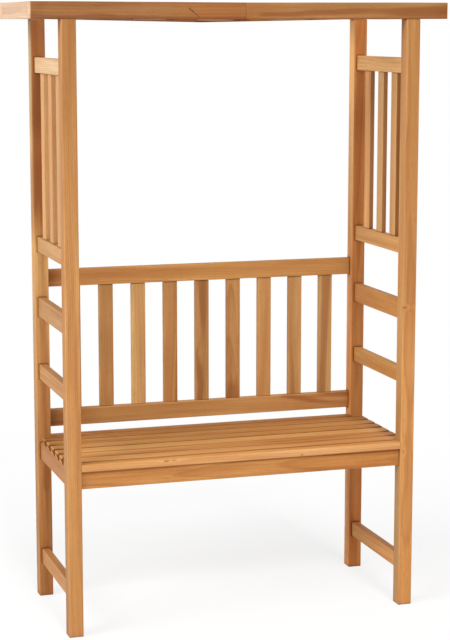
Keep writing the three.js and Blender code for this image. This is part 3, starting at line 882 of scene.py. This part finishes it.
def makeSteel(name):
    # zinc plated steel: fine turning marks and slight blotches, some duller
    material = bpy.data.materials.new(name)
    desk = NodeDesk(material)
    place = desk.node("TexCoord").outputs["Object"]
    marks = desk.noise(place, bolts["markScale"])
    blotch = desk.noise(place, bolts["blotchScale"], detail=3.0)
    plain, dull, bright = [fromScreen(*bolts[tint]) for tint in ("tint", "dullTint", "markTint")]
    colour = desk.mix(desk.ramp(blotch, 0.35, 0.7), plain, dull)
    colour = desk.mix(desk.ramp(marks, 0.4, 0.75, 0.0, 0.35), colour, bright)
    rough = desk.ramp(blotch, 0.3, 0.7, bolts["roughness"] - 0.08, bolts["roughness"] + 0.14)
    bump = desk.node("Bump", {"Height": marks, "Strength": 0.4, "Distance": bolts["markHeight"]})
    surface = desk.node("BsdfPrincipled", {"Base Color": colour, "Roughness": rough, "Metallic": 1.0,
                                           "Normal": bump.outputs[0]})
    desk.node("OutputMaterial", {0: surface.outputs[0]})
    return material


steel = makeSteel("platedSteel")
angle = np.linspace(0, 2 * math.pi, bolts["aroundSteps"], endpoint=False)[None, :]
head, across, chamfer, rim, ease, tip, mouth = [bolts[part] for part in (
    "headHeight", "across", "chamfer", "rim", "ease", "tip", "boreMouth")]
hexCorner = across / 2 / math.cos(math.pi / 6)
shank = bolts["diameter"] / 2
for k in (1, 2):
    low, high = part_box(f"roof_bolt_{k}")
    centre = (0, (low[y] + high[y]) / 2, (low[z] + high[z]) / 2)
    threadStart = high[x] - bolts["threadLength"]
    thread = np.arange(threadStart, high[x] - tip - ease, bolts["pitch"] / bolts["threadSteps"])
    headAxial = low[x] + np.array([0, 0, rim, chamfer, chamfer * 1.3, head - ease, head - ease / 4,
                                   head, head])
    plainAxial = [low[x] + head + ease / 2, threadStart - ease]
    axial = np.concatenate([headAxial, plainAxial, thread, [high[x] - tip, high[x], high[x]]])
    reaches = np.concatenate([hexReach(angle, across, ringReaches("headShares", hexCorner)),
                              np.full((len(plainAxial), angle.size), shank),
                              threadRadius(thread[:, None], angle, shank),
                              ringReaches("tipShares", shank) * np.ones_like(angle)])
    turnOnX(f"bolt_{k}", f"roof_bolt_{k}", axial, reaches, centre, False)

    # a nut runs over its outside from one face to the other and back through the hole
    low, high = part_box(f"roof_nut_{k}")
    half = np.array([0, 0, chamfer * 0.4, chamfer])
    axial = np.concatenate([low[x] + half, high[x] - half[::-1],
                            [high[x] - mouth, (low[x] + high[x]) / 2, low[x] + mouth]])
    hole = ringReaches("holeShares", shank + bolts["boreGap"]) * np.ones_like(angle)
    reaches = np.concatenate([hexReach(angle, across, ringReaches("nutShares", hexCorner)), hole])
    turnOnX(f"nut_{k}", f"roof_nut_{k}", axial, reaches, centre, True)
print("bolts and nuts made")

# floor, light and camera

studio = {
    "floorHalf": 30.0, "floorSquares": 8, "floorDrop": 0.0006, "floorTint": (246, 246, 246),
    "floorGlow": 0.78, "floorFade": (0.9, 3.2),  # the glow grows to full between these distances
    "worldLight": 0.36,
    # two far lamps: strength, spread in degrees, turn towards the left end, rise
    "frontLight": 0.575, "frontSpread": 14, "frontTurn": 0, "frontRise": 40,
    "leftLight": 0.6, "leftSpread": 34, "leftTurn": 64, "leftRise": 32,
    # a soft lamp near the upper left end, which the side faces there catch most
    "highLight": 19.0, "highSize": 1.2, "highPlace": (-2.6, -0.6, 2.3), "highAim": (0.2, 0.0, 1.4),
    "cameraPlace": (-1.52606, -4.89095, 1.64041), "cameraDown": 9.15, "cameraTurn": -17.42,
    "cameraLens": 103.27, "cameraSensor": 36,
}


def makeFloor():
    # a flat sheet whose own glow for the camera softens the shadow on it
    half, squares = studio["floorHalf"], studio["floorSquares"]
    places = np.linspace(-half, half, squares + 1)
    gridX, gridY = np.meshgrid(places, places)
    corners = np.stack([gridX, gridY, np.full_like(gridX, -studio["floorDrop"])], -1).reshape(-1, 3)
    row = squares + 1
    at = (np.arange(squares)[:, None] * row + np.arange(squares)[None, :]).ravel()
    faces = np.stack([at, at + 1, at + row + 1, at + row], 1).tolist()
    floor = meshFrom("studioFloor", corners, faces)
    material = bpy.data.materials.new("floorPaint")
    desk = NodeDesk(material)
    plain = desk.node("BsdfDiffuse", {"Color": fromScreen(*studio["floorTint"])})
    glow = desk.node("Emission", {"Color": (1.0, 1.0, 1.0), "Strength": 1.0})
    rays = desk.node("LightPath")
    away = desk.length(desk.node("TexCoord").outputs["Object"])
    share = desk.ramp(away, *studio["floorFade"], studio["floorGlow"], 1.0)
    seen = desk.times(rays.outputs["Is Camera Ray"], share)
    blend = desk.node("MixShader", {0: seen, 1: plain.outputs[0], 2: glow.outputs[0]})
    desk.node("OutputMaterial", {0: blend.outputs[0]})
    floor.data.materials.append(material)


def makeWorld():
    # soft light, with plain white for the camera, reflections and what shows through
    world = bpy.data.worlds.new("studioWorld")
    bpy.context.scene.world = world
    desk = NodeDesk(world)
    rays = desk.node("LightPath").outputs
    seen = desk.maths("MAXIMUM", rays["Is Camera Ray"], rays["Is Glossy Ray"])
    seen = desk.maths("MAXIMUM", seen, rays["Is Transmission Ray"])
    soft, white = [desk.node("Background", {0: (1, 1, 1), 1: strength}).outputs[0]
                   for strength in (studio["worldLight"], 1.0)]
    blend = desk.node("MixShader", {0: seen, 1: soft, 2: white})
    desk.node("OutputWorld", {0: blend.outputs[0]})


def makeLamp(name, light, spread, turn, rise):
    # a wide, far lamp, turned towards the left end
    lamp = bpy.data.lights.new(name, "SUN")
    lamp.energy = light * math.pi
    lamp.angle = math.radians(spread)
    placeObject(name, lamp).rotation_euler = (math.radians(90 - rise), 0, math.radians(-turn))


makeFloor()
makeWorld()
for side in ("front", "left"):
    makeLamp(side + "Lamp", *[studio[side + part] for part in ("Light", "Spread", "Turn", "Rise")])

high = bpy.data.lights.new("highLamp", "AREA")
high.energy, high.size = studio["highLight"], studio["highSize"]
highLamp = placeObject("highLamp", high)
highLamp.location = studio["highPlace"]
aim = Vector(studio["highAim"]) - Vector(studio["highPlace"])
highLamp.rotation_euler = aim.to_track_quat("-Z", "Y").to_euler()

camera = placeObject("camera", bpy.data.cameras.new("camera"))
camera.location = studio["cameraPlace"]
camera.rotation_euler = (math.radians(90 - studio["cameraDown"]), 0, math.radians(studio["cameraTurn"]))
camera.data.lens = studio["cameraLens"]
camera.data.sensor_width = studio["cameraSensor"]
bpy.context.scene.camera = camera
bpy.context.scene.view_settings.view_transform = "Standard"
print("stage, lamps and camera set")
